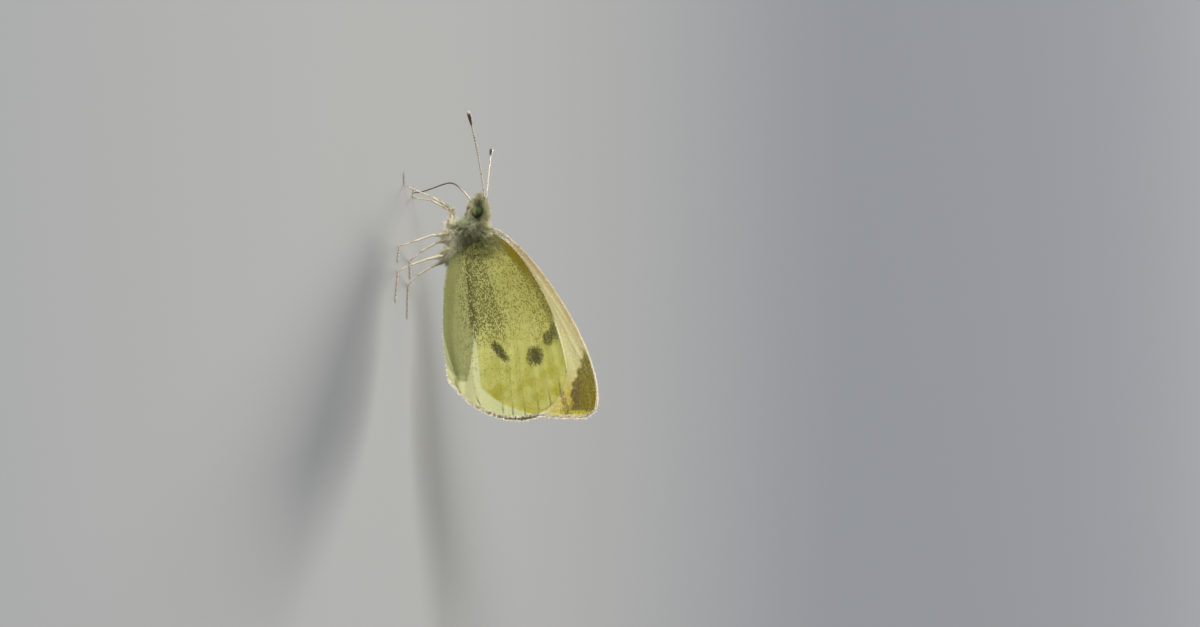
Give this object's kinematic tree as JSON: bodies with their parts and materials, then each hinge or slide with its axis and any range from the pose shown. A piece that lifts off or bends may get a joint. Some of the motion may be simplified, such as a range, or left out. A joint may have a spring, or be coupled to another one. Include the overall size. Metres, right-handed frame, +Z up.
{
  "type": "small white butterfly",
  "caption": "Life-size small white butterfly standing with its wings closed over its back, antennae forward, proboscis lowered.",
  "frame": {"origin": "middle of the outer box in length and width, on the level of the soles", "axes": "-X is the head, +X the tail, -Y the animal's left, +Z up"},
  "size_m": [0.0346, 0.0148, 0.0234],
  "materials": {
    "body_hair": "soft pale grey-green hair",
    "wing": "matte powdery scales, pale yellow-green with dark specks",
    "eye": "glossy faceted",
    "leg": "cream-white scales",
    "antenna": "ringed pale and dark brown scales",
    "mouthpart": "smooth horn"
  },
  "bodies": {
    "root": {"abdomen": "body_hair", "antenna_left": "antenna", "antenna_right": "antenna", "eye_left": "eye", "eye_right": "eye", "fore_coxa_left": "body_hair", "fore_coxa_right": "body_hair", "fore_femur_left": "leg", "fore_femur_right": "leg", "fore_tarsus_left": "leg", "fore_tarsus_right": "leg", "fore_tibia_left": "leg", "fore_tibia_right": "leg", "forewing_left": "wing", "forewing_right": "wing", "head": "body_hair", "hind_coxa_left": "body_hair", "hind_coxa_right": "body_hair", "hind_femur_left": "leg", "hind_femur_right": "leg", "hind_tarsus_left": "leg", "hind_tarsus_right": "leg", "hind_tibia_left": "leg", "hind_tibia_right": "leg", "hindwing_left": "wing", "hindwing_right": "wing", "mid_coxa_left": "body_hair", "mid_coxa_right": "body_hair", "mid_femur_left": "leg", "mid_femur_right": "leg", "mid_tarsus_left": "leg", "mid_tarsus_right": "leg", "mid_tibia_left": "leg", "mid_tibia_right": "leg", "palp_left": "body_hair", "palp_right": "body_hair", "proboscis_lower": "mouthpart", "proboscis_upper": "mouthpart", "thorax": "body_hair"}
  },
  "joints": []
}
